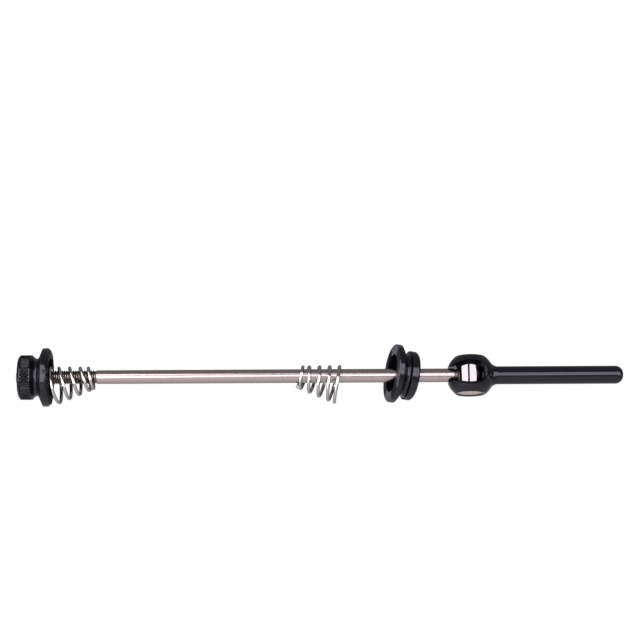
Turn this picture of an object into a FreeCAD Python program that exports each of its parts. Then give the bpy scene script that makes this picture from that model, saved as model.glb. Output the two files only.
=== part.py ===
import FreeCAD, Part
import Sketcher
import math
import os

# Quick-release skewer for a rear hub. Millimetres throughout.
# X runs along the rod from the adjusting nut to the lever, Z is up and along the pivot barrel.
# The origin is the middle of the rod's plain shank.

os.makedirs("parts", exist_ok=True)
doc = FreeCAD.newDocument("skewer")

# Named sizes. Lengths in mm, angles in degrees.
SIZES = {
    # rod
    "rod_dia": 5.0,
    "shank_dia": 4.9,
    "shank_length": 127.4,
    "nut_thread_length": 28.7,
    "barrel_thread_length": 8.9,
    "rod_end_chamfer": 0.4,
    # pivot barrel
    "barrel_dia": 9.3,
    "barrel_from_shank": 5.5,
    "barrel_inset": 0.3,
    "barrel_edge_chamfer": 0.25,
    "tapped_hole_spare": 0.3,
    # lever
    "ball_radius": 8.55,
    "flat_height": 6.7,
    "handle_dia": 6.4,
    "handle_reach": 54.5,
    "neck_radius": 3.2,
    "tip_radius": 2.8,
    "slot_half": 2.8,
    "slot_centre": 1.85,
    "flare_start": 4.5,
    "flare_slope": 0.556,
    "cam_offset": 0.4,
    "cam_forward": 0.4,
    "pivot_clearance": 0.05,
    # cam cup
    "cup_length": 8.4,
    "flange_dia": 20.9,
    "flange_rim": 2.0,
    "flange_face_chamfer": 0.4,
    "cup_neck_dia": 15.0,
    "flange_cone": 1.9,
    "disc_dia": 17.5,
    "disc_rim": 2.2,
    "disc_chamfer": 0.7,
    "edge_break": 0.2,
    "ring_inner_dia": 13.7,
    "cup_recess_depth": 3.0,
    "cup_bore_dia": 7.0,
    "seat_dia": 13.2,
    "seat_depth": 2.8,
    "cup_from_barrel": 28.0,
    "cup_rise": 0.3,
    "cup_yaw": 14.3,
    "cup_pitch": 6.0,
    # cam washer
    "washer_clearance": 0.05,
    "washer_bore_dia": 7.8,
    "washer_rim": 2.4,
    "dish_clearance": 0.1,
    "washer_web": 0.7,
    # serrations
    "teeth": 60,
    "tooth_depth": 0.35,
    "tooth_half_width": 0.31,
    "tooth_ring_land": 0.35,
    # adjusting nut
    "nut_length": 11.2,
    "knurl_dia": 16.0,
    "knurl_length": 4.6,
    "nut_end_chamfer": 0.7,
    "neck_dia": 13.4,
    "rim_dia": 20.9,
    "rim_width": 2.7,
    "rim_face_chamfer": 0.8,
    "rim_cone": 1.35,
    "nut_recess_depth": 2.0,
    "thread_clearance": 0.05,
    "rod_end_stand_out": 1.0,
    # nylon lock ring
    "lock_dia": 8.0,
    "lock_length": 2.4,
    "lock_depth": 3.0,
    # springs
    "wire_dia": 0.9,
    "spring_large_dia": 13.7,
    "spring_small_dia": 8.0,
    "spring_length": 14.4,
    "end_pitch": 1.0,
    "large_end_closed": 0.05,
    "small_end_closed": 0.65,
    "pitch_run_in": 0.75,
    "nut_spring_turns": 4.9,
    "nut_spring_first": 0.85,
    "nut_spring_seated": 0.15,
    "nut_spring_lean": 9.8,
    "lever_spring_turns": 5.0,
    "lever_spring_first": 0.5,
    "lever_spring_lean": 12.0,
    "lean_run_in": 0.5,
    "spring_clearance": 0.15,
    "nut_spring_gap": -0.25,
    "lever_spring_from_cup": 31.9,
}

sheet = doc.addObject("Spreadsheet::Sheet", "sizes")
for row, (alias, number) in enumerate(SIZES.items(), start=1):
    sheet.set("A%d" % row, alias.replace("_", " "))
    sheet.set("B%d" % row, repr(number))
    sheet.setAlias("B%d" % row, alias)
doc.recompute()


class Dim:
    """A number together with the sheet formula that it comes from."""

    def __init__(self, value, text):
        self.value = float(value)
        self.text = text

    def __add__(self, other):
        other = dim(other)
        return Dim(self.value + other.value, "(%s + %s)" % (self.text, other.text))

    def __sub__(self, other):
        other = dim(other)
        return Dim(self.value - other.value, "(%s - %s)" % (self.text, other.text))

    def __mul__(self, other):
        other = dim(other)
        return Dim(self.value * other.value, "(%s * %s)" % (self.text, other.text))

    def __truediv__(self, other):
        other = dim(other)
        return Dim(self.value / other.value, "(%s / %s)" % (self.text, other.text))

    def __neg__(self):
        return Dim(-self.value, "(0 - %s)" % self.text)


def dim(number):
    """A plain number or a Dim, as a Dim."""
    if isinstance(number, Dim):
        return number
    return Dim(number, repr(float(number)))


def size(alias):
    """The named size from the sheet."""
    return Dim(float(sheet.get(alias)), "sizes." + alias)


def root(number):
    """The square root, as a sheet formula."""
    return Dim(math.sqrt(number.value), "sqrt(%s)" % number.text)


def new_body(label):
    """An empty body that will be written to its own file."""
    body = doc.addObject("PartDesign::Body", label)
    body.Label = label
    return body


def plane_of(body, role):
    """The body's own origin plane or axis with this role."""
    for item in body.Origin.OriginFeatures:
        if item.Role == role:
            return item
    raise LookupError(role)


def new_sketch(body, role, label, lift=None):
    """A sketch on one of the body's origin planes, lifted along the plane's normal."""
    sketch = body.newObject("Sketcher::SketchObject", label)
    sketch.AttachmentSupport = (plane_of(body, role), [""])
    sketch.MapMode = "FlatFace"
    if lift is not None:
        sketch.setExpression("AttachmentOffset.Base.z", lift.text)
    return sketch


def pin_point(sketch, geo, pos, x, y):
    """Holds a sketch point at sheet-driven coordinates."""
    for kind, number, axis in (("DistanceX", dim(x), -2), ("DistanceY", dim(y), -1)):
        if abs(number.value) < 1e-9:
            sketch.addConstraint(Sketcher.Constraint("PointOnObject", geo, pos, axis))
            continue
        index = sketch.addConstraint(Sketcher.Constraint(kind, -1, 1, geo, pos, number.value))
        sketch.setExpression("Constraints[%d]" % index, number.text)


def draw(sketch, points):
    """A closed outline through (x, y) points. A third item makes the edge that leaves the point an arc:
    (radius, side), side +1 or -1 for the arc's centre to the left or right of the edge's direction."""
    count = len(points)
    geos = []
    for i, point in enumerate(points):
        after = points[(i + 1) % count]
        x1, y1 = dim(point[0]).value, dim(point[1]).value
        x2, y2 = dim(after[0]).value, dim(after[1]).value
        a = FreeCAD.Vector(x1, y1, 0)
        b = FreeCAD.Vector(x2, y2, 0)
        if len(point) == 2:
            geos.append((sketch.addGeometry(Part.LineSegment(a, b), False), 1, 2))
            continue
        radius, side = point[2]
        along = b - a
        half = along.Length / 2
        left = FreeCAD.Vector(-along.y, along.x, 0) / along.Length
        centre = (a + b) / 2 + left * (side * math.sqrt(max(radius.value ** 2 - half ** 2, 0)))
        t1 = math.atan2(a.y - centre.y, a.x - centre.x)
        t2 = math.atan2(b.y - centre.y, b.x - centre.x)
        circle = Part.Circle(centre, FreeCAD.Vector(0, 0, 1), radius.value)
        if side > 0:
            geo = sketch.addGeometry(Part.ArcOfCircle(circle, t1, t2 if t2 > t1 else t2 + 2 * math.pi), False)
            geos.append((geo, 1, 2))
        else:
            geo = sketch.addGeometry(Part.ArcOfCircle(circle, t2, t1 if t1 > t2 else t1 + 2 * math.pi), False)
            geos.append((geo, 2, 1))
        index = sketch.addConstraint(Sketcher.Constraint("Radius", geo, radius.value))
        sketch.setExpression("Constraints[%d]" % index, radius.text)
    for i, (geo, first, last) in enumerate(geos):
        following = geos[(i + 1) % count]
        sketch.addConstraint(Sketcher.Constraint("Coincident", geo, last, following[0], following[1]))
        pin_point(sketch, geo, first, points[i][0], points[i][1])
    return sketch


def ring(sketch, x, y, radius):
    """A circle at sheet-driven coordinates."""
    centre = FreeCAD.Vector(dim(x).value, dim(y).value, 0)
    geo = sketch.addGeometry(Part.Circle(centre, FreeCAD.Vector(0, 0, 1), radius.value), False)
    pin_point(sketch, geo, 3, x, y)
    index = sketch.addConstraint(Sketcher.Constraint("Radius", geo, radius.value))
    sketch.setExpression("Constraints[%d]" % index, radius.text)
    return sketch


def revolve(body, sketch, label):
    """A full turn of the outline about the body's X axis."""
    feature = body.newObject("PartDesign::Revolution", label)
    feature.Profile = sketch
    feature.ReferenceAxis = (plane_of(body, "X_Axis"), [""])
    feature.Angle = 360
    doc.recompute()
    return feature


def cut(body, sketch, label, depth, symmetric=False, reverse=False):
    """A pocket that must take something away."""
    before = body.Shape.Volume
    feature = body.newObject("PartDesign::Pocket", label)
    feature.Profile = sketch
    feature.setExpression("Length", depth.text)
    if symmetric:
        feature.SideType = "Symmetric"
    feature.Reversed = reverse
    doc.recompute()
    must_shrink(body, before, label)
    return feature


def must_shrink(body, before, label):
    """Stops the build if a cut took nothing away."""
    if not body.Shape.Volume < before - 1e-4:
        raise RuntimeError(label + " cut nothing")


def place(body, x, y, z):
    """Puts a body at sheet-driven coordinates."""
    for axis, number in (("x", x), ("y", y), ("z", z)):
        body.setExpression("Placement.Base." + axis, dim(number).text)


rod_radius = size("rod_dia") / 2
shank_radius = size("shank_dia") / 2
half_shank = size("shank_length") / 2
barrel_x = half_shank + size("barrel_from_shank")
barrel_radius = size("barrel_dia") / 2
ball = size("ball_radius")

# Rod: plain shank with a threaded length at each end, drawn at the thread's outer size.
skewer_rod = new_body("skewer_rod")
nut_end = -(half_shank + size("nut_thread_length"))
barrel_end = half_shank + size("barrel_thread_length")
bevel = size("rod_end_chamfer")
revolve(
    skewer_rod,
    draw(
        new_sketch(skewer_rod, "XY_Plane", "rod_outline"),
        [
            (nut_end, 0),
            (nut_end, rod_radius - bevel),
            (nut_end + bevel, rod_radius),
            (-half_shank, rod_radius),
            (-half_shank, shank_radius),
            (half_shank, shank_radius),
            (half_shank, rod_radius),
            (barrel_end - bevel, rod_radius),
            (barrel_end, rod_radius - bevel),
            (barrel_end, 0),
        ],
    ),
    "rod_turned",
)

# Pivot barrel: cross pin set just inside the lever's flats, with a blind tapped hole for the rod.
pivot_barrel = new_body("pivot_barrel")
barrel_pad = pivot_barrel.newObject("PartDesign::Pad", "barrel_blank")
barrel_pad.Profile = ring(new_sketch(pivot_barrel, "XY_Plane", "barrel_circle"), 0, 0, barrel_radius)
barrel_half = size("flat_height") - size("barrel_inset")
barrel_pad.setExpression("Length", (barrel_half * 2).text)
barrel_pad.SideType = "Symmetric"
doc.recompute()
hole_depth = barrel_end - barrel_x + size("tapped_hole_spare")
hole_sketch = new_sketch(pivot_barrel, "YZ_Plane", "tapped_hole_circle", lift=hole_depth)
ring(hole_sketch, 0, 0, rod_radius)
tapped_hole = cut(pivot_barrel, hole_sketch, "tapped_hole", size("barrel_dia") * 2)
barrel_edges = pivot_barrel.newObject("PartDesign::Chamfer", "barrel_edge_break")
round_ends = []
for number, edge in enumerate(tapped_hole.Shape.Edges, start=1):
    box = edge.BoundBox
    if box.ZLength < 1e-3 and abs(abs(box.Center.z) - barrel_half.value) < 1e-3:
        round_ends.append("Edge%d" % number)
barrel_edges.Base = (tapped_hole, round_ends)
barrel_edges.setExpression("Size", "sizes.barrel_edge_chamfer")
pivot_barrel.Tip = barrel_edges
doc.recompute()
place(pivot_barrel, barrel_x, 0, 0)

# Lever: turned ball, neck and handle, then flats, pivot bore, rod slot and its flared mouths.
lever = new_body("lever")
handle_radius = size("handle_dia") / 2
neck = size("neck_radius")
tip = size("tip_radius")
reach = size("handle_reach")
neck_x = root((ball + neck) * (ball + neck) - (handle_radius + neck) * (handle_radius + neck))
share = ball / (ball + neck)
revolve(
    lever,
    draw(
        new_sketch(lever, "XY_Plane", "lever_outline"),
        [
            (-ball, 0, (ball, -1)),
            (neck_x * share, (handle_radius + neck) * share, (neck, 1)),
            (neck_x, handle_radius),
            (reach - tip, handle_radius, (tip, -1)),
            (reach, handle_radius - tip),
            (reach, 0),
        ],
    ),
    "lever_turned",
)
across = ball * 2.5
for label, sign in (("flat_top", 1), ("flat_under", -1)):
    flat_sketch = new_sketch(lever, "XZ_Plane", label + "_outline")
    draw(
        flat_sketch,
        [
            (-across, size("flat_height") * sign),
            (across, size("flat_height") * sign),
            (across, across * sign),
            (-across, across * sign),
        ],
    )
    cut(lever, flat_sketch, label, across * 2, symmetric=True)
bore_sketch = new_sketch(lever, "XY_Plane", "pivot_bore_circle")
ring(bore_sketch, -size("cam_forward"), -size("cam_offset"), barrel_radius + size("pivot_clearance"))
cut(lever, bore_sketch, "pivot_bore", across * 2, symmetric=True)
half = size("slot_half")
slot_sketch = new_sketch(lever, "XZ_Plane", "slot_outline")


def slot_points(half_width):
    """An outline open to the rod side with a half-round floor."""
    return [
        (-across, -half_width),
        (size("slot_centre"), -half_width, (half_width, 1)),
        (size("slot_centre") + half_width, 0, (half_width, 1)),
        (size("slot_centre"), half_width),
        (-across, half_width),
    ]


draw(slot_sketch, slot_points(half))
cut(lever, slot_sketch, "rod_slot", across * 2, symmetric=True)
flare_end = ball + 0.5
for label, sign in (("front_mouth", 1), ("back_mouth", -1)):
    inner = new_sketch(lever, "XZ_Plane", label + "_inner", lift=size("flare_start") * sign)
    draw(inner, slot_points(half))
    outer = new_sketch(lever, "XZ_Plane", label + "_outer", lift=flare_end * sign)
    draw(outer, slot_points(half + (flare_end - size("flare_start")) * size("flare_slope")))
    doc.recompute()
    before = lever.Shape.Volume
    mouth = lever.newObject("PartDesign::SubtractiveLoft", label)
    mouth.Profile = inner
    mouth.Sections = [outer]
    mouth.Ruled = True
    doc.recompute()
    must_shrink(lever, before, label)
place(lever, barrel_x + size("cam_forward"), size("cam_offset"), 0)

# Clamping serrations: one V-groove cut across the ring, repeated round it.
ring_inner = size("ring_inner_dia") / 2


def serrate(body, outer_radius, face, sign):
    """Cuts the V-grooves into a clamping face that looks along the X axis, sign +1 or -1."""
    start = ring_inner + size("tooth_ring_land")
    width = size("tooth_half_width")
    depth = size("tooth_depth")
    out = outer_radius + 0.5
    vee = new_sketch(body, "XZ_Plane", "tooth_outline", lift=-start)
    draw(
        vee,
        [
            (face - depth * sign, 0),
            (face + depth * 0.5 * sign, width * -1.5 * sign),
            (face + depth * 0.5 * sign, width * 1.5 * sign),
        ],
    )
    groove = cut(body, vee, "tooth_groove", out - start)
    before = body.Shape.Volume
    pattern = body.newObject("PartDesign::PolarPattern", "tooth_ring")
    pattern.Originals = [groove]
    pattern.Axis = (plane_of(body, "X_Axis"), [""])
    pattern.Angle = 360
    pattern.setExpression("Occurrences", "sizes.teeth")
    body.Tip = pattern
    doc.recompute()
    must_shrink(body, before, "tooth_ring")


# Cam cup: turned spool, serrated towards the hub and recessed for its washer towards the lever.
cam_cup = new_body("cam_cup")
flange_radius = size("flange_dia") / 2
cup_neck = size("cup_neck_dia") / 2
disc_radius = size("disc_dia") / 2
cup_bore = size("cup_bore_dia") / 2
edge = size("edge_break")
cup_length = size("cup_length")
seat_radius = size("seat_dia") / 2
neck_start = size("flange_rim") + size("flange_cone")
disc_start = cup_length - size("disc_rim") - size("disc_chamfer")
cove = disc_radius - cup_neck
revolve(
    cam_cup,
    draw(
        new_sketch(cam_cup, "XY_Plane", "cup_outline"),
        [
            (0, ring_inner),
            (0, flange_radius - size("flange_face_chamfer")),
            (size("flange_face_chamfer"), flange_radius),
            (size("flange_rim") - edge, flange_radius),
            (size("flange_rim"), flange_radius - edge),
            (neck_start, cup_neck),
            (disc_start - cove, cup_neck, (cove, 1)),
            (disc_start, disc_radius - edge * 0.2),
            (disc_start + edge * 0.2, disc_radius),
            (cup_length - size("disc_chamfer"), disc_radius),
            (cup_length, disc_radius - size("disc_chamfer")),
            (cup_length, seat_radius),
            (cup_length - size("seat_depth"), seat_radius),
            (cup_length - size("seat_depth"), cup_bore),
            (size("cup_recess_depth"), cup_bore),
            (size("cup_recess_depth"), ring_inner),
        ],
    ),
    "cup_turned",
)
serrate(cam_cup, flange_radius, dim(0), -1)

# Cam washer: dished seat for the lever's ball, free to turn in the cup.
cam_washer = new_body("cam_washer")
slip = size("washer_clearance")
washer_back = cup_length - size("seat_depth") + slip
washer_front = washer_back + size("washer_rim")
washer_radius = seat_radius - slip
washer_bore = size("washer_bore_dia") / 2
dish = ball + size("dish_clearance")
dish_centre = washer_back + size("washer_web") + root(dish * dish - washer_bore * washer_bore)
dish_edge = root(dish * dish - (dish_centre - washer_front) * (dish_centre - washer_front))
revolve(
    cam_washer,
    draw(
        new_sketch(cam_washer, "XY_Plane", "washer_outline"),
        [
            (washer_back, washer_bore),
            (washer_back + size("washer_web"), washer_bore, (dish, -1)),
            (washer_front, dish_edge),
            (washer_front, washer_radius),
            (washer_back, washer_radius),
        ],
    ),
    "washer_turned",
)

# The cup and its washer hang on the rod a little askew.
cup_x = barrel_x - size("cup_from_barrel")
lean = FreeCAD.Rotation(size("cup_yaw").value, size("cup_pitch").value, 0)
for body in (cam_cup, cam_washer):
    half_cup = FreeCAD.Vector(cup_length.value / 2, 0, 0)
    centre = FreeCAD.Vector(cup_x.value + half_cup.x, 0, size("cup_rise").value)
    body.Placement = FreeCAD.Placement(centre - lean.multVec(half_cup), lean)

# Adjusting nut: knurled head, waisted neck and serrated clamping rim, bored right through.
adjusting_nut = new_body("adjusting_nut")
nut_bore = rod_radius + size("thread_clearance")
knurl_radius = size("knurl_dia") / 2
waist = size("neck_dia") / 2
rim_radius = size("rim_dia") / 2
nut_length = size("nut_length")
lock_radius = size("lock_dia") / 2
rim_start = nut_length - size("rim_width")
drop = knurl_radius - waist
waist_start = size("knurl_length") + drop * 0.75
waist_end = rim_start - size("rim_cone")
waist_radius = (waist_end - waist_start) * 0.646
revolve(
    adjusting_nut,
    draw(
        new_sketch(adjusting_nut, "XY_Plane", "nut_outline"),
        [
            (0, lock_radius),
            (0, knurl_radius - size("nut_end_chamfer")),
            (size("nut_end_chamfer"), knurl_radius),
            (size("knurl_length"), knurl_radius),
            (waist_start, waist + drop * 0.25, (waist_radius, 1)),
            (waist_end, waist + drop * 0.35),
            (rim_start, rim_radius - edge),
            (rim_start + edge, rim_radius),
            (nut_length - size("rim_face_chamfer"), rim_radius),
            (nut_length, rim_radius - size("rim_face_chamfer")),
            (nut_length, ring_inner),
            (nut_length - size("nut_recess_depth"), ring_inner),
            (nut_length - size("nut_recess_depth"), nut_bore),
            (size("lock_depth"), nut_bore),
            (size("lock_depth"), lock_radius),
        ],
    ),
    "nut_turned",
)
serrate(adjusting_nut, rim_radius, nut_length, 1)
nut_x = nut_end + size("rod_end_stand_out")
place(adjusting_nut, nut_x, 0, 0)

# Lock ring: nylon ring pressed to the bottom of the nut's outer counterbore.
nut_lock_ring = new_body("nut_lock_ring")
revolve(
    nut_lock_ring,
    draw(
        new_sketch(nut_lock_ring, "XY_Plane", "lock_outline"),
        [
            (size("lock_depth") - size("lock_length"), nut_bore),
            (size("lock_depth") - size("lock_length"), lock_radius),
            (size("lock_depth"), lock_radius),
            (size("lock_depth"), nut_bore),
        ],
    ),
    "lock_turned",
)
place(nut_lock_ring, nut_x, 0, 0)


def spring(label, x_start, side, large_first, seated):
    """A conical spring of round-cornered wire with closed ends, hung on the rod by the top of every coil.

    The wire starts part of the way round its first turn, and stands upright while it is seated in a recess.
    """
    wire = size("wire_dia").value / 2
    large = size("spring_large_dia").value / 2 - wire
    small = size("spring_small_dia").value / 2 - wire
    turns = size(side + "_spring_turns").value
    first = size(side + "_spring_first").value
    lean = math.radians(size(side + "_spring_lean").value) * (1 if large_first else -1)
    lean_run_in = size("lean_run_in").value
    length = size("spring_length").value
    slow = size("end_pitch").value
    run_in = size("pitch_run_in").value
    closed = [size("large_end_closed").value, size("small_end_closed").value]
    if not large_first:
        closed.reverse()
    # the pitch is slow over the closed turn at each end and eases to its full value over the run-in
    slow_turns = closed[0] + closed[1] + run_in
    fast = (length - slow * slow_turns) / (turns - slow_turns)
    steps = 20
    count = int(round(turns * steps))
    along = [0.0]
    for i in range(count):
        here = (i + 0.5) / steps
        ease = min((here - closed[0]) / run_in, (turns - here - closed[1]) / run_in)
        ease = min(max(ease, 0.0), 1.0)
        along.append(along[-1] + (slow + (fast - slow) * ease * ease * (3 - 2 * ease)) / steps)
    top = rod_radius.value + size("spring_clearance").value + wire
    points = []
    for i in range(count + 1):
        share_x = along[i] / along[-1]
        radius = large + (small - large) * share_x if large_first else small + (large - small) * share_x
        angle = 2 * math.pi * (first + i / steps)
        # the top of each coil hangs on the rod and the coil leans towards the small end
        fall = radius * (1 - math.cos(angle))
        lean_angle = lean * min(max((i / steps - seated) / lean_run_in, 0.0), 1.0)
        x = x_start + along[i] + fall * math.sin(lean_angle)
        points.append(FreeCAD.Vector(x, -radius * math.sin(angle), top - fall * math.cos(lean_angle)))
    spine = Part.makePolygon(points)
    forward = (points[1] - points[0]).normalize()
    across_wire = forward.cross(FreeCAD.Vector(1, 0, 0)).normalize()
    over = across_wire.cross(forward)
    corner = wire / math.cos(math.pi / 8)
    profile = []
    for i in range(9):
        turn = math.pi / 8 + math.pi / 4 * i
        profile.append(points[0] + across_wire * (corner * math.cos(turn)) + over * (corner * math.sin(turn)))
    section = Part.makePolygon(profile)
    shell = Part.BRepOffsetAPI.MakePipeShell(spine)
    shell.setTransitionMode(1)
    shell.add(section)
    shell.build()
    shell.makeSolid()
    feature = doc.addObject("Part::Feature", label)
    feature.Shape = shell.shape()
    feature.Label = label
    return feature


nut_face_x = (nut_x + nut_length).value
nut_spring_x = nut_face_x + size("nut_spring_gap").value
nut_side_spring = spring("nut_side_spring", nut_spring_x, "nut", True, size("nut_spring_seated").value)
lever_spring_x = (cup_x - size("lever_spring_from_cup")).value
lever_side_spring = spring("lever_side_spring", lever_spring_x, "lever", False, -size("lean_run_in").value)
doc.recompute()

for item in doc.Objects:
    if "Invalid" in item.State or "Error" in item.State:
        raise RuntimeError("%s is not sound: %s" % (item.Label, item.State))

for item in (
    skewer_rod,
    pivot_barrel,
    lever,
    cam_cup,
    cam_washer,
    lever_side_spring,
    nut_side_spring,
    adjusting_nut,
    nut_lock_ring,
):
    shape = item.Shape
    if shape.isNull() or not shape.isValid() or len(shape.Solids) != 1:
        raise RuntimeError("%s has no single sound solid" % item.Label)
    shape.exportStep("parts/%s.step" % item.Label)
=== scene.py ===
"""Studio scene for a rear quick-release hub skewer, dressed on its CAD frame.

Everything is in the frame of the CAD: X along the rod from the nut to the lever, Z up. Sizes are in
millimetres and become metres only where a mesh is made. The studio is in metres.
"""

from __future__ import annotations

import logging
import math
from dataclasses import dataclass
from enum import Enum

import bmesh
import bpy
from mathutils import Matrix, Vector


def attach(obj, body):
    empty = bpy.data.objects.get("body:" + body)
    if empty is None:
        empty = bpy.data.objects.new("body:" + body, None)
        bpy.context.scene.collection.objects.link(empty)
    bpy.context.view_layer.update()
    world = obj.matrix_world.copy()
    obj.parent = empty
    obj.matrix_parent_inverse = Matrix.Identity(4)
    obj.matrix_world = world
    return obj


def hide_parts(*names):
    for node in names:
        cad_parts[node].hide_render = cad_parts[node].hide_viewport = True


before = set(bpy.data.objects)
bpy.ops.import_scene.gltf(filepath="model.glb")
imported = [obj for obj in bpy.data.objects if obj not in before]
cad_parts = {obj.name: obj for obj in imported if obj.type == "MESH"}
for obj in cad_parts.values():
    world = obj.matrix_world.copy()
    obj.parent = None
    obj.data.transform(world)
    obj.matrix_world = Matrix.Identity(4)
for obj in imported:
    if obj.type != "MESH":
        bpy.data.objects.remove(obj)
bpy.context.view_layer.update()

MM = 0.001
FULL_TURN = 2 * math.pi
MATH = "ShaderNodeMath"
COMBINE = "ShaderNodeCombineXYZ"

# Points closer than this, in metres, are one point.
SAME_POINT = 1e-7

# Roughness wanders in patches of about this many millimetres, as handling and polishing leave them.
PATCH_MM = 2.5

# A turned mark is this many times as long as it is wide.
MARK_STRETCH = 40

log = logging.getLogger("skewer")

Outline = list[tuple[float, float]]


def linear(code: str) -> tuple[float, float, float, float]:
    """Turns an sRGB hex colour into linear RGBA.

    Args:
        code: six hex digits with a leading hash.

    Returns:
        Linear red, green, blue and an alpha of 1.
    """
    parts = [int(code[i : i + 2], 16) / 255 for i in (1, 3, 5)]
    values = [c / 12.92 if c <= 0.04045 else ((c + 0.055) / 1.055) ** 2.4 for c in parts]
    return values[0], values[1], values[2], 1.0


def add_node(tree: bpy.types.NodeTree, kind: str, *values: object, **named: object) -> bpy.types.Node:
    """Adds a node with its settings and links.

    Args:
        tree: tree that the node joins.
        kind: type of the node.
        values: constants, sockets, or nodes for their first output, for its inputs in order.
        named: settings by their lower-case names, inputs by their capitalised ones, underscores for spaces.

    Returns:
        The new node.
    """
    node = tree.nodes.new(kind)
    inputs: dict[int | str, object] = dict(enumerate(values))
    for name, value in named.items():
        if name[0].islower():
            setattr(node, name, value)
        else:
            inputs[name.replace("_", " ")] = value
    for key, value in inputs.items():
        source = value.outputs[0] if isinstance(value, bpy.types.Node) else value
        if isinstance(source, bpy.types.NodeSocket):
            tree.links.new(source, node.inputs[key])
        else:
            node.inputs[key].default_value = source
    return node


class Grain(Enum):
    """The way that a surface's machining marks run."""

    EVEN = "even"
    TURNED = "turned"


@dataclass(frozen=True)
class Finish:
    """One real material and how it was finished.

    Args:
        name: material name.
        colour: sRGB hex of the surface.
        metallic: 0 for a plastic or a dyed oxide film, 1 for bare metal.
        roughness: middle of the roughness range.
        spread: how far roughness wanders either side of its middle.
        grain: the way that the machining marks run.
        grain_mm: spacing of the marks.
        relief_mm: height of the marks, 0 for none.
        index: refractive index of a plastic or a film.
        tint: sRGB hex of the reflections on a plastic or a film.
    """

    name: str
    colour: str
    metallic: float
    roughness: float
    spread: float
    grain: Grain = Grain.EVEN
    grain_mm: float = 0.1
    relief_mm: float = 0.0
    index: float = 1.5
    tint: str = "#ffffff"

    def build(self) -> bpy.types.Material:
        """Makes the node material, or returns it if it is already there.

        Returns:
            The finished material.
        """
        found = bpy.data.materials.get(self.name)
        if found:
            return found
        material = bpy.data.materials.new(self.name)
        material.use_nodes = True
        tree = material.node_tree
        shader = tree.nodes["Principled BSDF"]
        values = {"Base Color": linear(self.colour), "Metallic": self.metallic, "Roughness": self.roughness}
        if not self.metallic:
            values |= {"IOR": self.index, "Specular Tint": linear(self.tint)}
        for name, value in values.items():
            shader.inputs[name].default_value = value
        place = add_node(tree, "ShaderNodeTexCoord").outputs["Object"]
        tree.links.new(self.wander(tree, place), shader.inputs["Roughness"])
        if self.relief_mm:
            tree.links.new(self.marks(tree, place), shader.inputs["Normal"])
        return material

    def wander(self, tree: bpy.types.NodeTree, place: bpy.types.NodeSocket) -> bpy.types.NodeSocket:
        """Lets roughness wander over the surface in patches.

        Args:
            tree: the material's nodes.
            place: where a point lies on the piece.

        Returns:
            The roughness.
        """
        patches = add_node(tree, "ShaderNodeTexNoise", Vector=place, Scale=1 / (PATCH_MM * MM), Detail=4.0)
        # the noise keeps mostly to the middle of its range, which is stretched over the whole spread
        ramp = add_node(
            tree,
            "ShaderNodeMapRange",
            Value=patches.outputs["Fac"],
            From_Min=0.3,
            From_Max=0.7,
            To_Min=self.roughness - self.spread,
            To_Max=self.roughness + self.spread,
        )
        return ramp.outputs["Result"]

    def marks(self, tree: bpy.types.NodeTree, place: bpy.types.NodeSocket) -> bpy.types.NodeSocket:
        """Adds fine machining marks as a shallow bump.

        Args:
            tree: the material's nodes.
            place: where a point lies on the piece.

        Returns:
            The bumped normal.
        """
        fine = 1 / (self.grain_mm * MM)
        around = fine / MARK_STRETCH if self.grain is Grain.TURNED else fine
        stretch = add_node(tree, "ShaderNodeMapping", Vector=place, Scale=(fine, around, around))
        noise = add_node(tree, "ShaderNodeTexNoise", Vector=stretch, Scale=1.0, Detail=3.0)
        bump = add_node(
            tree, "ShaderNodeBump", Strength=1.0, Distance=self.relief_mm * MM, Height=noise.outputs["Fac"]
        )
        return bump.outputs["Normal"]


# Turned aluminium under a black anodised film: near black, with the soft boxes mirrored as cool grey bands.
# The tool's marks are drawn at 0.09 mm, which is coarser than real ones, and show only as softer bands.
ANODISED = Finish(
    name="black_anodised_aluminium",
    colour="#0e0d12",
    metallic=0.0,
    roughness=0.14,
    spread=0.015,
    grain=Grain.TURNED,
    grain_mm=0.09,
    relief_mm=0.0004,
    index=1.6,
    tint="#f1ecfb",
)
# The same film on a cut knurl: a darker ground, on which single facets glint.
KNURLED = Finish("black_anodised_knurl", "#0b0a0e", 0.0, 0.12, 0.01, index=1.45, tint="#f3eefb")
# Satin polished titanium: a faintly warm grey with bright lines along the rod, soft at their edges.
TITANIUM = Finish("satin_titanium_rod", "#b4a8a9", 1.0, 0.22, 0.03)
# Titanium with a rolled thread: duller and browner than the rod, with small glints on the crests. Its colour
# is also set darker than the rod's as painted shade, which stands for the shade that the grooves cast on
# each other.
THREAD_WITH_PAINTED_SHADE = Finish("rolled_titanium_thread_painted_shade", "#70675f", 1.0, 0.34, 0.05)
# Polished steel: a clear mirror that shows the two boxes and the dark line between them.
BARREL = Finish("polished_steel_barrel", "#938d90", 1.0, 0.06, 0.01)
# Ground steel: pale and dull, with no clear reflection. Scratches from the wheel's grit, some hundredths
# of a millimetre wide, are too fine to show, so they are drawn at 0.12 mm.
BARREL_END = Finish("ground_steel_end", "#e0d1cf", 1.0, 0.40, 0.05, Grain.EVEN, 0.12, 0.0010)
# Bright drawn spring steel: a white glint along each coil with grey on either side.
SPRING = Finish("bright_spring_steel", "#bfbbbd", 1.0, 0.16, 0.03)
# Moulded black acetal: a soft waxy sheen.
ACETAL = Finish("black_acetal", "#1d1d1f", 0.0, 0.45, 0.04)
# Moulded black nylon: duller than acetal and a little paler.
NYLON = Finish("black_nylon", "#232327", 0.0, 0.55, 0.04)


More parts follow.
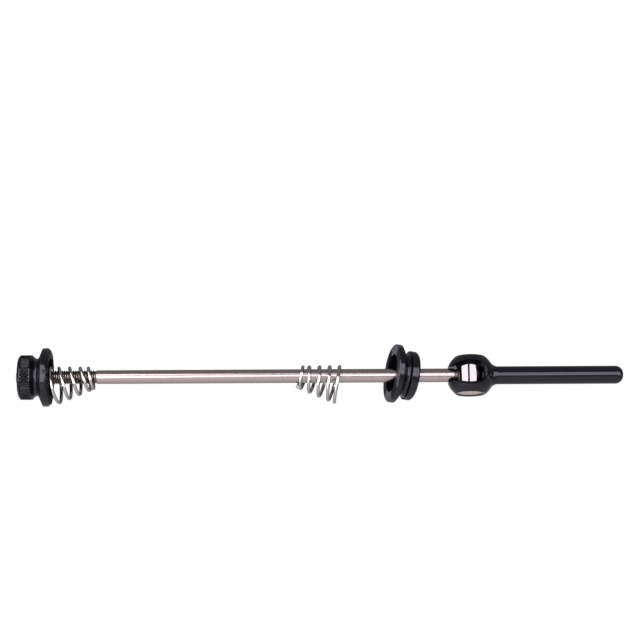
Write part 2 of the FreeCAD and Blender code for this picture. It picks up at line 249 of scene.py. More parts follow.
@dataclass(frozen=True)
class Teeth:
    """Radial V-grooves on a turned clamping face.

    Args:
        start: radius where the grooves begin.
        face: place of the face along the turning axis.
        towards: +1 or -1, the way that the face looks.
        count: grooves round the face.
        depth: depth of a groove.
        half_width: half the width of a groove at its mouth.
        columns: points of a ring to one tooth, which are the groove, its two lips and the land.
        skin: how far above the grooves' floor the rim has its next ring.
        below: how far below it the wall inside has its next ring.
    """

    start: float
    face: float
    towards: int
    count: int = 60
    depth: float = 0.35
    half_width: float = 0.31
    columns: int = 4
    skin: float = 0.01
    below: float = 0.05

    def cut_left(self, x: float, radius: float) -> float:
        """How much of a groove's depth lies below a point of the outline.

        Args:
            x: place along the axis.
            radius: radius of the point.

        Returns:
            The depth still to cut, 0 away from the grooves.
        """
        rounding = 1e-6
        if radius < self.start - rounding:
            return 0.0
        return max(self.depth - abs(x - self.face), 0.0)

    def angle(self, column: int, x: float, radius: float) -> float:
        """The angle of one of a tooth's columns on a ring.

        Args:
            column: column number round the part.
            x: place of the ring along the axis.
            radius: radius of the ring.

        Returns:
            The angle in radians.
        """
        tooth, part = divmod(column, self.columns)
        pitch = FULL_TURN / self.count
        share = self.cut_left(x, radius) / self.depth or 1.0
        lip = self.half_width * share / max(radius, self.start)
        return tooth * pitch + (0.0, lip, pitch / 2, pitch - lip)[part]

    def sink(self, column: int, x: float, radius: float) -> float:
        """How far a point of the outline moves along the axis to make a groove.

        Args:
            column: column number round the part.
            x: place along the axis.
            radius: radius of the point.

        Returns:
            The shift along the axis.
        """
        return -self.towards * self.cut_left(x, radius) if column % self.columns == 0 else 0.0


def rounded(points: list[tuple[float, ...]], steps: int = 4) -> Outline:
    """Breaks the corners of a closed outline.

    Args:
        points: (x, radius) corners, with a third item where the corner is rounded to that radius.
        steps: flats that make up one rounded corner.

    Returns:
        The outline with its corners as short curves.
    """
    most_of_edge = 0.48
    out: Outline = []
    for i, (x, radius, *corner) in enumerate(points):
        here = Vector((x, radius))
        if not corner:
            out.append((here.x, here.y))
            continue
        before = Vector(points[i - 1][:2]) - here
        after = Vector(points[(i + 1) % len(points)][:2]) - here
        room = min(before.length, after.length) * most_of_edge
        reach = min(corner[0] / math.tan(before.angle(after) / 2), room)
        start = here + before.normalized() * reach
        end = here + after.normalized() * reach
        for k in range(steps + 1):
            t = k / steps
            bend = start * (1 - t) ** 2 + here * (2 * t * (1 - t)) + end * t**2
            out.append((bend.x, bend.y))
    return out


def arc(
    start: tuple[float, float], end: tuple[float, float], radius: float, side: int, steps: int = 12
) -> Outline:
    """Points of an arc between two outline points, ends left out.

    Args:
        start: first end.
        end: second end.
        radius: radius of the arc.
        side: +1 or -1 for the centre to the left or right of the way from start to end.
        steps: flats that make up the arc.

    Returns:
        The points between the two ends.
    """
    a, b = Vector(start), Vector(end)
    along = b - a
    left = Vector((-along.y, along.x)).normalized()
    centre = (a + b) / 2 + left * side * math.sqrt(max(radius**2 - (along.length / 2) ** 2, 0.0))
    first = math.atan2(a.y - centre.y, a.x - centre.x)
    last = math.atan2(b.y - centre.y, b.x - centre.x)
    sweep = (last - first) % FULL_TURN if side > 0 else -((first - last) % FULL_TURN)
    angles = [first + sweep * k / steps for k in range(1, steps)]
    return [(centre.x + radius * math.cos(angle), centre.y + radius * math.sin(angle)) for angle in angles]


def link_object(name: str, data: bpy.types.ID) -> bpy.types.Object:
    """Makes an object in the scene.

    Args:
        name: object name.
        data: its mesh, curve, light or camera.

    Returns:
        The new object, at the origin.
    """
    obj = bpy.data.objects.new(name, data)
    bpy.context.scene.collection.objects.link(obj)
    return obj


def plain_mesh(obj: bpy.types.Object) -> bpy.types.Mesh:
    """A plain mesh of an object as it is evaluated, modifiers and all.

    Args:
        obj: object with modifiers, or a curve.

    Returns:
        The new mesh.
    """
    graph = bpy.context.evaluated_depsgraph_get()
    return bpy.data.meshes.new_from_object(obj.evaluated_get(graph), depsgraph=graph)


def settle(obj: bpy.types.Object) -> bpy.types.Object:
    """Replaces an object's mesh by its evaluated one and drops its modifiers.

    Args:
        obj: object with modifiers.

    Returns:
        The same object with a plain mesh.
    """
    mesh = plain_mesh(obj)
    obj.modifiers.clear()
    obj.data = mesh
    return obj


def finish_mesh(obj: bpy.types.Object, sharp_degrees: float = 32.0) -> bpy.types.Object:
    """Gives an object smooth shading with crisp edges and area-weighted normals.

    Args:
        obj: object with a plain mesh.
        sharp_degrees: edges that turn more than this stay crisp.

    Returns:
        The same object.
    """
    obj.data.shade_smooth()
    obj.data.set_sharp_from_angle(angle=math.radians(sharp_degrees))
    weighted = obj.modifiers.new("weighted", "WEIGHTED_NORMAL")
    weighted.keep_sharp = True
    return settle(obj)


def turned(
    name: str,
    outline: Outline,
    place: Matrix,
    columns: int = 160,
    closed: bool = True,
    teeth: Teeth | None = None,
) -> bpy.types.Object:
    """Turns an outline about its X axis.

    Args:
        name: piece name.
        outline: (x, radius) points in millimetres.
        place: where the turned piece goes, in metres.
        columns: points round the axis, unless there are teeth.
        closed: joins the last point to the first, as on a piece with a bore.
        teeth: grooves on a clamping face.

    Returns:
        The turned piece, with its normals outwards.
    """
    if teeth:
        columns = teeth.count * teeth.columns
    verts: list[Vector] = []
    for x, radius in outline:
        for j in range(columns):
            angle = teeth.angle(j, x, radius) if teeth else FULL_TURN * j / columns
            shift = teeth.sink(j, x, radius) if teeth else 0.0
            point = Vector((x + shift, radius * math.cos(angle), radius * math.sin(angle)))
            verts.append(place @ (point * MM))
    faces = []
    rings = len(outline)
    for i in range(rings if closed else rings - 1):
        for j in range(columns):
            a, b = i * columns, (i + 1) % rings * columns
            k = (j + 1) % columns
            faces.append((a + j, a + k, b + k, b + j))
    mesh = bpy.data.meshes.new(name)
    mesh.from_pydata(verts, [], faces)
    work = bmesh.new()
    work.from_mesh(mesh)
    bmesh.ops.remove_doubles(work, verts=work.verts, dist=SAME_POINT)
    bmesh.ops.recalc_face_normals(work, faces=work.faces)
    work.to_mesh(mesh)
    work.free()
    return finish_mesh(link_object(name, mesh))


def dress(obj: bpy.types.Object, finish: Finish, body: str, slot: str, *nodes: str) -> None:
    """Gives a piece its finish, unless it has one, and ties it to the CAD frame.

    Args:
        obj: finished piece.
        finish: its material.
        body: CAD body that it rides on.
        slot: not used.
        nodes: CAD nodes that it stands for.
    """
    if not obj.data.materials:
        obj.data.materials.append(finish.build())
    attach(obj, body)
    if nodes:
        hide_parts(*nodes)
    log.info("%s rides on %s with %d faces", obj.name, body, len(obj.data.polygons))


def along_x(x: float) -> Matrix:
    """A shift along X by millimetres, in metres."""
    return Matrix.Translation((x * MM, 0, 0))


def within_one(share: float) -> float:
    """A share held between 0 and 1."""
    return min(max(share, 0.0), 1.0)


class ShapeTree:
    """A geometry node group that makes one piece."""

    def __init__(self, name: str) -> None:
        """Starts an empty group with a geometry output.

        Args:
            name: group name.
        """
        self.group = bpy.data.node_groups.new(name, "GeometryNodeTree")
        self.group.interface.new_socket("Geometry", in_out="OUTPUT", socket_type="NodeSocketGeometry")
        self.source = self.add("NodeGroupInput")
        self.sockets: dict[str, str] = {}

    def add(self, kind: str, *values: object, **named: object) -> bpy.types.Node:
        """Adds a node to the group, as add_node does."""
        return add_node(self.group, kind, *values, **named)

    def inputs(self, kind: str, *names: str) -> list[bpy.types.NodeSocket]:
        """Adds named inputs of one kind.

        Args:
            kind: Float, Int or Material.
            names: the inputs' names.

        Returns:
            The sockets to link from.
        """
        for name in names:
            item = self.group.interface.new_socket(name, in_out="INPUT", socket_type="NodeSocket" + kind)
            self.sockets[name] = item.identifier
        return [self.source.outputs[name] for name in names]

    def run(self, name: str, shape: bpy.types.Node, finish: Finish, **values: float) -> bpy.types.Object:
        """Ends the group and evaluates it to a plain mesh.

        Args:
            name: piece name.
            shape: the node whose geometry is realised.
            finish: the piece's material.
            values: input values by name, with underscores for spaces.

        Returns:
            An object with the realised mesh.
        """
        realised = self.add("GeometryNodeRealizeInstances", shape)
        material = self.inputs("Material", "Material")[0]
        painted = self.add("GeometryNodeSetMaterial", realised, Material=material)
        self.add("NodeGroupOutput", painted)
        obj = link_object(name, bpy.data.meshes.new(name))
        modifier = obj.modifiers.new("nodes", "NODES")
        modifier.node_group = self.group
        modifier[self.sockets["Material"]] = finish.build()
        for key, value in values.items():
            modifier[self.sockets[key.replace("_", " ")]] = value
        return settle(obj)


@dataclass
class Rod:
    """Titanium rod with a rolled thread at each end."""

    shank_dia: float = 4.9
    thread_dia: float = 5.0
    root_dia: float = 4.1
    pitch: float = 0.8
    half_shank: float = 63.7
    nut_end: float = -92.4
    barrel_end: float = 72.6
    columns: int = 96
    tip_round: float = 0.3
    step: float = 0.25  # length of the step from the shank down to the thread's root
    shank_edge: float = 0.1  # length of the bevel at each end of the shank
    shank_bevel: float = 0.04  # how far that bevel drops
    thread_inset: float = 0.1  # how far from the rod's end the nut's thread starts
    root_sunk: float = 0.01  # how far inside the core the thread's root lies
    root_flat: float = 0.16  # share of half a pitch
    flank: float = 0.7  # share of half a pitch, and the rest is the crest's flat
    run_out: float = 0.9  # length over which the thread fades at its ends
    around: int = 56
    per_pitch: int = 12

    def build(self) -> None:
        """Builds the shank with its cores, and the two threads."""
        core = self.root_dia / 2
        shank = self.shank_dia / 2
        core_end = (-self.half_shank - self.step, core)
        outline = [
            (self.nut_end, 0.0),
            *rounded([(self.nut_end, 0.0), (self.nut_end, core, self.tip_round), core_end])[1:],
            (-self.half_shank, shank - self.shank_bevel),
            (-self.half_shank + self.shank_edge, shank),
            (self.half_shank - self.shank_edge, shank),
            (self.half_shank, shank - self.shank_bevel),
            (self.half_shank + self.step, core),
            (self.barrel_end, core),
            (self.barrel_end, 0.0),
        ]
        rod = turned("skewer_rod_shank", outline, along_x(0), self.columns, closed=False)
        dress(rod, TITANIUM, "rod", "titanium", "skewer_rod")
        nut_side = self.thread("nut_thread", self.nut_end + self.thread_inset, -self.half_shank)
        dress(nut_side, THREAD_WITH_PAINTED_SHADE, "rod", "titanium")
        lever_side = self.thread("barrel_thread", self.half_shank, self.barrel_end)
        dress(lever_side, THREAD_WITH_PAINTED_SHADE, "rod", "titanium")

    def thread(self, name: str, start: float, end: float) -> bpy.types.Object:
        """Makes one stretch of right-hand thread as a node group over a rolled-up grid.

        Args:
            name: piece name.
            start: first end along X.
            end: second end along X.

        Returns:
            The thread.
        """
        tree = ShapeTree(name)
        names = ("Length", "Start", "Pitch", "Crest", "Root", "Run Out")
        length, first, pitch, crest, root, run_out = tree.inputs("Float", *names)
        grid = tree.add("GeometryNodeMeshGrid", 1.0, 1.0, *tree.inputs("Int", "Along", "Around"))
        apart = tree.add("ShaderNodeSeparateXYZ", tree.add("GeometryNodeInputPosition"))
        share = tree.add(MATH, apart.outputs["X"], 0.5, operation="ADD")
        turn = tree.add(MATH, apart.outputs["Y"], 0.5, operation="ADD")
        distance = tree.add(MATH, share, length, operation="MULTIPLY")
        pitches = tree.add(MATH, distance, pitch, operation="DIVIDE")
        phase = tree.add(MATH, tree.add(MATH, pitches, turn, operation="SUBTRACT"), operation="FRACT")
        # a zigzag from 1 at the crests to 0 at the roots, with straight flanks between flats
        swing = tree.add(MATH, phase, 2.0, -1.0, operation="MULTIPLY_ADD")
        ridge = tree.add(MATH, swing, operation="ABSOLUTE")
        climb = tree.add(MATH, ridge, self.root_flat, operation="SUBTRACT")
        height = tree.add(MATH, climb, self.flank, operation="DIVIDE", use_clamp=True)
        from_end = tree.add(MATH, length, distance, operation="SUBTRACT")
        to_end = tree.add(MATH, distance, from_end, operation="MINIMUM")
        fade = tree.add(MATH, to_end, run_out, operation="DIVIDE", use_clamp=True)
        depth = tree.add(MATH, crest, root, operation="SUBTRACT")
        rise = tree.add(MATH, height, fade, operation="MULTIPLY")
        radius = tree.add(MATH, rise, depth, root, operation="MULTIPLY_ADD")
        angle = tree.add(MATH, turn, FULL_TURN, operation="MULTIPLY")
        x = tree.add(MATH, distance, first, operation="ADD")
        y = tree.add(MATH, radius, tree.add(MATH, angle, operation="COSINE"), operation="MULTIPLY")
        z = tree.add(MATH, radius, tree.add(MATH, angle, operation="SINE"), operation="MULTIPLY")
        bent = tree.add("GeometryNodeSetPosition", grid, Position=tree.add(COMBINE, x, y, z))
        seamed = tree.add("GeometryNodeMergeByDistance", bent, Distance=SAME_POINT)
        obj = tree.run(
            name,
            seamed,
            THREAD_WITH_PAINTED_SHADE,
            Length=(end - start) * MM,
            Start=start * MM,
            Pitch=self.pitch * MM,
            Crest=self.thread_dia / 2 * MM,
            Root=(self.root_dia / 2 - self.root_sunk) * MM,
            Run_Out=self.run_out * MM,
            Along=round((end - start) / self.pitch * self.per_pitch) + 1,
            Around=self.around + 1,
        )
        obj.data.shade_smooth()
        return obj


@dataclass
class Barrel:
    """Cross barrel that the rod screws into."""

    x: float = 69.2
    radius: float = 4.65
    half_length: float = 6.4
    edge: float = 0.25
    columns: int = 128
    end_facing: float = 0.9  # a face whose normal is more upright than this belongs to an end

    def build(self) -> None:
        """Builds the barrel with a polished side and ground ends."""
        outline = rounded(
            [
                (-self.half_length, 0.0),
                (-self.half_length, self.radius, self.edge),
                (self.half_length, self.radius, self.edge),
                (self.half_length, 0.0),
            ]
        )
        upright = along_x(self.x) @ Matrix.Rotation(-math.pi / 2, 4, "Y")
        barrel = turned("pivot_barrel_pin", outline, upright, self.columns, closed=False)
        barrel.data.materials.append(BARREL.build())
        barrel.data.materials.append(BARREL_END.build())
        for face in barrel.data.polygons:
            face.material_index = int(abs(face.normal.z) > self.end_facing)
        dress(barrel, BARREL, "rod", "polished_steel", "pivot_barrel")


@dataclass
class Lever:
    """Ball-headed cam lever, taken from its CAD solid."""

    weld_mm: float = 0.0005
    sharp_degrees: float = 24.0

    def build(self) -> None:
        """Copies the CAD solid, welds its faces and shades it smooth."""
        work = bmesh.new()
        work.from_mesh(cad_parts["lever"].data)
        bmesh.ops.remove_doubles(work, verts=work.verts, dist=self.weld_mm * MM)
        mesh = bpy.data.meshes.new("cam_lever")
        work.to_mesh(mesh)
        work.free()
        mesh.materials.clear()
        lever = finish_mesh(link_object("cam_lever", mesh), self.sharp_degrees)
        dress(lever, ANODISED, "lever", "black_anodised", "lever")


@dataclass
class Cup:
    """Cam cup and its washer, hanging askew on the rod.

    Places are along the cup's own axis, from its serrated face.
    """

    length: float = 8.4
    flange: float = 10.45  # radius, as are neck, disc, ring_inner, bore, seat and dish
    flange_rim: float = 2.0  # width of the flange before its cone starts
    face_chamfer: float = 0.4
    neck: float = 7.5
    flange_cone: float = 1.9  # length of the cone from the flange down to the neck
    flange_round: float = 0.25
    disc: float = 8.75
    disc_rim: float = 2.2
    disc_chamfer: float = 0.7
    disc_round: float = 0.5
    end_round: float = 0.3
    cove_lip: float = 0.04  # how far below the disc's rim the cove from the neck ends
    disc_edge: float = 0.1  # length of the bevel from there up to the rim
    ring_inner: float = 6.85
    recess: float = 3.0
    bore: float = 3.5
    seat: float = 6.6
    seat_depth: float = 2.8
    soft: float = 0.15  # rounding of the edges inside
    x: float = 41.2
    rise: float = 0.3  # height of the cup's middle above the rod's axis
    yaw: float = 14.3
    pitch: float = 6.0
    washer_slip: float = 0.05
    washer_bore: float = 3.9
    washer_rim: float = 2.4
    washer_web: float = 0.7  # thickness at the washer's bore
    dish: float = 8.65  # the hollow that the lever's ball turns in

    def build(self) -> None:
        """Builds the cup and the washer."""
        dress(self.spool(), ANODISED, "cup", "black_anodised", "cam_cup")
        dress(self.washer(), ACETAL, "washer", "acetal", "cam_washer")

    def place(self) -> Matrix:
        """Where the cup's serrated face and axis are.

        Returns:
            The cup's place in metres.
        """
        middle = self.length / 2
        turn = Matrix.Rotation(math.radians(self.yaw), 4, "Z")
        lean = turn @ Matrix.Rotation(math.radians(self.pitch), 4, "Y")
        return Matrix.Translation(Vector((self.x + middle, 0, self.rise)) * MM) @ lean @ along_x(-middle)

    def spool(self) -> bpy.types.Object:
        """Turns the cup with its serrated face.

        Returns:
            The cup.
        """
        teeth = Teeth(start=self.ring_inner, face=0.0, towards=-1)
        last_cut = teeth.depth - teeth.skin
        face_edge = self.flange - self.face_chamfer
        disc_start = self.length - self.disc_rim - self.disc_chamfer
        cove = self.disc - self.neck
        cove_start = (disc_start - cove, self.neck)
        cove_end = (disc_start, self.disc - self.cove_lip)
        floor = self.length - self.seat_depth
        outline = [
            (0.0, self.ring_inner),
            (0.0, face_edge),
            (last_cut, face_edge + last_cut),
            *rounded(
                [
                    (self.face_chamfer, self.flange),
                    (self.flange_rim, self.flange, self.flange_round),
                    (self.flange_rim + self.flange_cone, self.neck, self.flange_round),
                    cove_start,
                ]
            ),
            *arc(cove_start, cove_end, cove, 1),
            cove_end,
            *rounded(
                [
                    (disc_start + self.disc_edge, self.disc),
                    (self.length - self.disc_chamfer, self.disc, self.disc_round),
                    (self.length, self.disc - self.disc_chamfer, self.end_round),
                    (self.length, self.seat, self.soft),
                    (floor, self.seat, self.soft),
                    (floor, self.bore, self.soft),
                    (self.recess, self.bore, self.soft),
                    (self.recess, self.ring_inner, self.soft),
                    (teeth.depth + teeth.below, self.ring_inner),
                ]
            ),
        ]
        return turned("cam_cup_spool", outline, self.place(), teeth=teeth)

    def washer(self) -> bpy.types.Object:
        """Turns the dished washer in the cup's seat.

        Returns:
            The washer.
        """
        back = self.length - self.seat_depth + self.washer_slip
        front = back + self.washer_rim
        rim = self.seat - self.washer_slip
        centre = back + self.washer_web + math.sqrt(self.dish**2 - self.washer_bore**2)
        edge = math.sqrt(self.dish**2 - (centre - front) ** 2)
        back_bore = (back, self.washer_bore)
        dish_start = (back + self.washer_web, self.washer_bore)
        dish_end = (front, edge)
        outline = [
            back_bore,
            dish_start,
            *arc(dish_start, dish_end, self.dish, -1),
            dish_end,
            *rounded([dish_end, (front, rim, self.soft), (back, rim, self.soft), back_bore])[1:-1],
        ]
        return turned("cam_washer_seat", outline, self.place())


@dataclass
class Nut:
    """Adjusting nut with a knurled head, and its lock ring.

    Places are along the nut's axis, from its outer end. The waist's curve is given in shares of the step
    from the head down to the waist.
    """

    x: float = -91.4
    length: float = 11.2
    head: float = 8.0  # radius over the knurl
    head_length: float = 4.6
    end_chamfer: float = 0.7
    end_round: float = 0.2
    head_round: float = 0.1
    land: float = 0.15  # plain width at each end of the knurl
    waist: float = 6.7
    lead_in: float = 0.75  # share along the nut from the head to where the curve starts
    lead_in_left: float = 0.25  # share still above the waist there
    rise_out: float = 0.35  # share above the waist where the curve ends
    waist_bend: float = 0.646  # radius of the curve as a share of its length
    rim: float = 10.45
    rim_width: float = 2.7
    rim_cone: float = 1.35
    rim_edge: float = 0.2
    rim_round: float = 0.3
    face_chamfer: float = 0.8
    ring_inner: float = 6.85
    recess: float = 2.0
    bore: float = 2.55
    soft: float = 0.15  # rounding of the edges inside
    lock_radius: float = 4.0
    lock_depth: float = 3.0
    lock_length: float = 2.4
    lock_slip: float = 0.02
    knurl_height: float = 0.32
    knurl_around: int = 38
    knurl_rows: int = 5
    knurl_tip: float = 0.12  # width of a diamond's tip as a share of its foot
    knurl_sunk: float = 0.03  # how far inside the head a diamond's foot lies

    def build(self) -> None:
        """Builds the nut's body, its knurl and the lock ring."""
        dress(self.body(), ANODISED, "nut", "black_anodised", "adjusting_nut")
        dress(self.knurl(), KNURLED, "nut", "black_anodised")
        dress(self.lock_ring(), NYLON, "nut", "nylon", "nut_lock_ring")

    def body(self) -> bpy.types.Object:
        """Turns the nut, with the head cut down to the foot of the knurl.

        Returns:
            The nut without its knurl.
        """
        teeth = Teeth(start=self.ring_inner, face=self.length, towards=1)
        last_cut = teeth.depth - teeth.skin
        face_edge = self.rim - self.face_chamfer
        drop = self.head - self.waist
        foot = self.head - self.knurl_height
        knurl_start = self.end_chamfer + self.land
        knurl_end = self.head_length - self.land
        floor = self.length - self.recess
        rim_start = self.length - self.rim_width
        waist_start = (self.head_length + drop * self.lead_in, self.waist + drop * self.lead_in_left)
        waist_end = (rim_start - self.rim_cone, self.waist + drop * self.rise_out)
        outline = [
            *rounded(
                [
                    (floor, self.bore, self.soft),
                    (self.lock_depth, self.bore),
                    (self.lock_depth, self.lock_radius),
                    (0.0, self.lock_radius, self.soft),
                    (0.0, self.head - self.end_chamfer, self.end_round),
                    (self.end_chamfer, self.head, self.head_round),
                    (knurl_start, self.head),
                    (knurl_start, foot),
                    (knurl_end, foot),
                    (knurl_end, self.head),
                    (self.head_length, self.head, self.head_round),
                    waist_start,
                    (floor, self.ring_inner),
                ]
            )[:-1],
            *arc(waist_start, waist_end, (waist_end[0] - waist_start[0]) * self.waist_bend, 1),
            *rounded(
                [
                    waist_end,
                    (rim_start, self.rim - self.rim_edge, self.rim_edge),
                    (rim_start + self.rim_edge, self.rim, self.rim_edge),
                    (self.length - self.face_chamfer, self.rim, self.rim_round),
                    (self.length - last_cut, face_edge + last_cut),
                ]
            ),
            (self.length, face_edge),
            (self.length, self.ring_inner),
            (self.length - teeth.depth - teeth.below, self.ring_inner),
            (floor, self.ring_inner),
        ]
        return turned("adjusting_nut_body", outline, along_x(self.x), teeth=teeth)

    def knurl(self) -> bpy.types.Object:
        """Makes the diamond knurl as instanced pyramids round the head.

        Returns:
            The knurl.
        """
        tree = ShapeTree("diamond_knurl")
        around, rows = tree.inputs("Int", "Around", "Rows")
        names = ("Start", "Step", "Radius", "Height", "Width")
        start, step, radius, height, width = tree.inputs("Float", *names)
        line = tree.add("GeometryNodeMeshLine", Count=tree.add(MATH, around, rows, operation="MULTIPLY"))
        index = tree.add("GeometryNodeInputIndex")
        middle = tree.add(MATH, index, 0.5, operation="ADD")
        row = tree.add(MATH, tree.add(MATH, middle, around, operation="DIVIDE"), operation="FLOOR")
        before = tree.add(MATH, row, around, operation="MULTIPLY")
        column = tree.add(MATH, index, before, operation="SUBTRACT")
        # every other row is shifted by half a diamond
        odd = tree.add(MATH, row, 2.0, operation="MODULO")
        shifted = tree.add(MATH, odd, 0.5, column, operation="MULTIPLY_ADD")
        share = tree.add(MATH, shifted, around, operation="DIVIDE")
        angle = tree.add(MATH, share, FULL_TURN, operation="MULTIPLY")
        back = tree.add(MATH, radius, tree.add(MATH, angle, operation="SINE"), operation="MULTIPLY")
        x = tree.add(MATH, row, step, start, operation="MULTIPLY_ADD")
        y = tree.add(MATH, back, -1.0, operation="MULTIPLY")
        z = tree.add(MATH, radius, tree.add(MATH, angle, operation="COSINE"), operation="MULTIPLY")
        points = tree.add("GeometryNodeSetPosition", line, Position=tree.add(COMBINE, x, y, z))
        pyramid = tree.add(
            "GeometryNodeMeshCone", Vertices=4, Radius_Top=self.knurl_tip, Radius_Bottom=1.0, Depth=1.0
        )
        copies = tree.add(
            "GeometryNodeInstanceOnPoints",
            points,
            Instance=pyramid,
            Rotation=tree.add(COMBINE, angle),
            Scale=tree.add(COMBINE, step, width, height),
        )
        foot = self.head - self.knurl_height
        room = self.head_length - self.end_chamfer - 2 * self.land
        gap = room / (self.knurl_rows + 1)
        return tree.run(
            "nut_knurl",
            copies,
            KNURLED,
            Around=self.knurl_around,
            Rows=self.knurl_rows,
            Start=(self.x + self.end_chamfer + self.land + gap) * MM,
            Step=gap * MM,
            Radius=(foot - self.knurl_sunk) * MM,
            Height=(self.knurl_height + self.knurl_sunk) * MM,
            Width=math.pi * foot / self.knurl_around * MM,
        )

    def lock_ring(self) -> bpy.types.Object:
        """Turns the lock ring in its counterbore.

        Returns:
            The lock ring.
        """
        outer_end = self.lock_depth - self.lock_length
        radius = self.lock_radius - self.lock_slip
        outline = rounded(
            [
                (outer_end, self.bore, self.soft),
                (outer_end, radius, self.soft),
                (self.lock_depth, radius),
                (self.lock_depth, self.bore),
            ]
        )
        return turned("nylon_lock_ring", outline, along_x(self.x))


@dataclass
class Spring:
    """Conical wire spring with closed ends, hung on the rod by the top of every coil."""

    name: str
    node: str
    body: str
    x_start: float
    lean_degrees: float
    large_first: bool  # whether the wire starts at the large end
    turns: float
    first: float  # where the wire starts, in turns from the top
    seated: float  # turns after which the coils start to lean
    wire: float = 0.58  # radius, as are large and small, to the wire's centre
    large: float = 6.55
    small: float = 3.7
    length: float = 14.4
    end_pitch: float = 1.0
    large_closed: float = 0.05  # closed turns at the large end
    small_closed: float = 0.65
    run_in: float = 0.75  # turns over which the pitch opens
    lean_run_in: float = 0.5
    top: float = 3.25  # height of the wire's centre above the rod's axis at the top of a coil
    per_turn: int = 64
    wire_steps: int = 6
    sharp_degrees: float = 50.0

    def rises(self) -> list[float]:
        """How far along the spring each point of the wire lies.

        Returns:
            Distances from the first end.
        """
        closed = [self.large_closed, self.small_closed]
        if not self.large_first:
            closed.reverse()
        slow_turns = sum(closed) + self.run_in
        open_pitch = (self.length - self.end_pitch * slow_turns) / (self.turns - slow_turns)
        along = [0.0]
        for i in range(round(self.turns * self.per_turn)):
            here = (i + 0.5) / self.per_turn
            share = within_one(min(here - closed[0], self.turns - here - closed[1]) / self.run_in)
            # eases in and out between the closed and the open pitch
            ease = share * share * (3 - 2 * share)
            pitch = self.end_pitch + (open_pitch - self.end_pitch) * ease
            along.append(along[-1] + pitch / self.per_turn)
        return along

    def path(self) -> list[Vector]:
        """The wire's centre line.

        Returns:
            Points in metres.
        """
        along = self.rises()
        lean = math.radians(self.lean_degrees) * (1 if self.large_first else -1)
        first, last = (self.large, self.small) if self.large_first else (self.small, self.large)
        points = []
        for i, x in enumerate(along):
            radius = first + (last - first) * x / along[-1]
            turn = i / self.per_turn
            angle = FULL_TURN * (self.first + turn)
            fall = radius * (1 - math.cos(angle))
            tip = lean * within_one((turn - self.seated) / self.lean_run_in)
            shift = self.x_start + x + fall * math.sin(tip)
            points.append(Vector((shift, -radius * math.sin(angle), self.top - fall * math.cos(tip))) * MM)
        return points

    def build(self) -> None:
        """Sweeps the wire along its path."""
        points = self.path()
        curve = bpy.data.curves.new(self.name, "CURVE")
        curve.dimensions = "3D"
        curve.bevel_depth = self.wire * MM
        curve.bevel_resolution = self.wire_steps
        curve.use_fill_caps = True
        spline = curve.splines.new("POLY")
        spline.points.add(len(points) - 1)
        for point, spot in zip(spline.points, points):
            point.co = (*spot, 1.0)
        holder = link_object(self.name + "_curve", curve)
        mesh = plain_mesh(holder)
        bpy.data.objects.remove(holder)
        mesh.shade_smooth()
        mesh.set_sharp_from_angle(angle=math.radians(self.sharp_degrees))
        dress(link_object(self.name, mesh), SPRING, self.body, "spring_steel", self.node)


@dataclass(frozen=True)
class SoftBox:
    """A soft box that faces the part.

    Args:
        name: light name.
        azimuth: first and last edge in degrees, from the front round to the lever's end.
        elevation: lower and upper edge in degrees.
        glow: brightness of its face, 1 for white.
        distance: distance from the part in metres.
    """

    name: str
    azimuth: tuple[float, float]
    elevation: tuple[float, float]
    glow: float
    distance: float = 1.0

    def build(self) -> None:
        """Hangs the box."""
        turn = math.radians(sum(self.azimuth) / 2)
        rise = math.radians(sum(self.elevation) / 2)
        spans = [math.radians(last - first) for first, last in (self.azimuth, self.elevation)]
        wide, tall = (2 * self.distance * math.tan(span / 2) for span in spans)
        data = bpy.data.lights.new(self.name, "AREA")
        data.shape = "RECTANGLE"
        data.size, data.size_y = wide, tall
        data.energy = self.glow * math.pi * wide * tall
        way = Vector((math.sin(turn) * math.cos(rise), -math.cos(turn) * math.cos(rise), math.sin(rise)))
        lamp = link_object(self.name, data)
        lamp.location = way * self.distance
        lamp.rotation_euler = (-way).to_track_quat("-Z", "Y").to_euler()


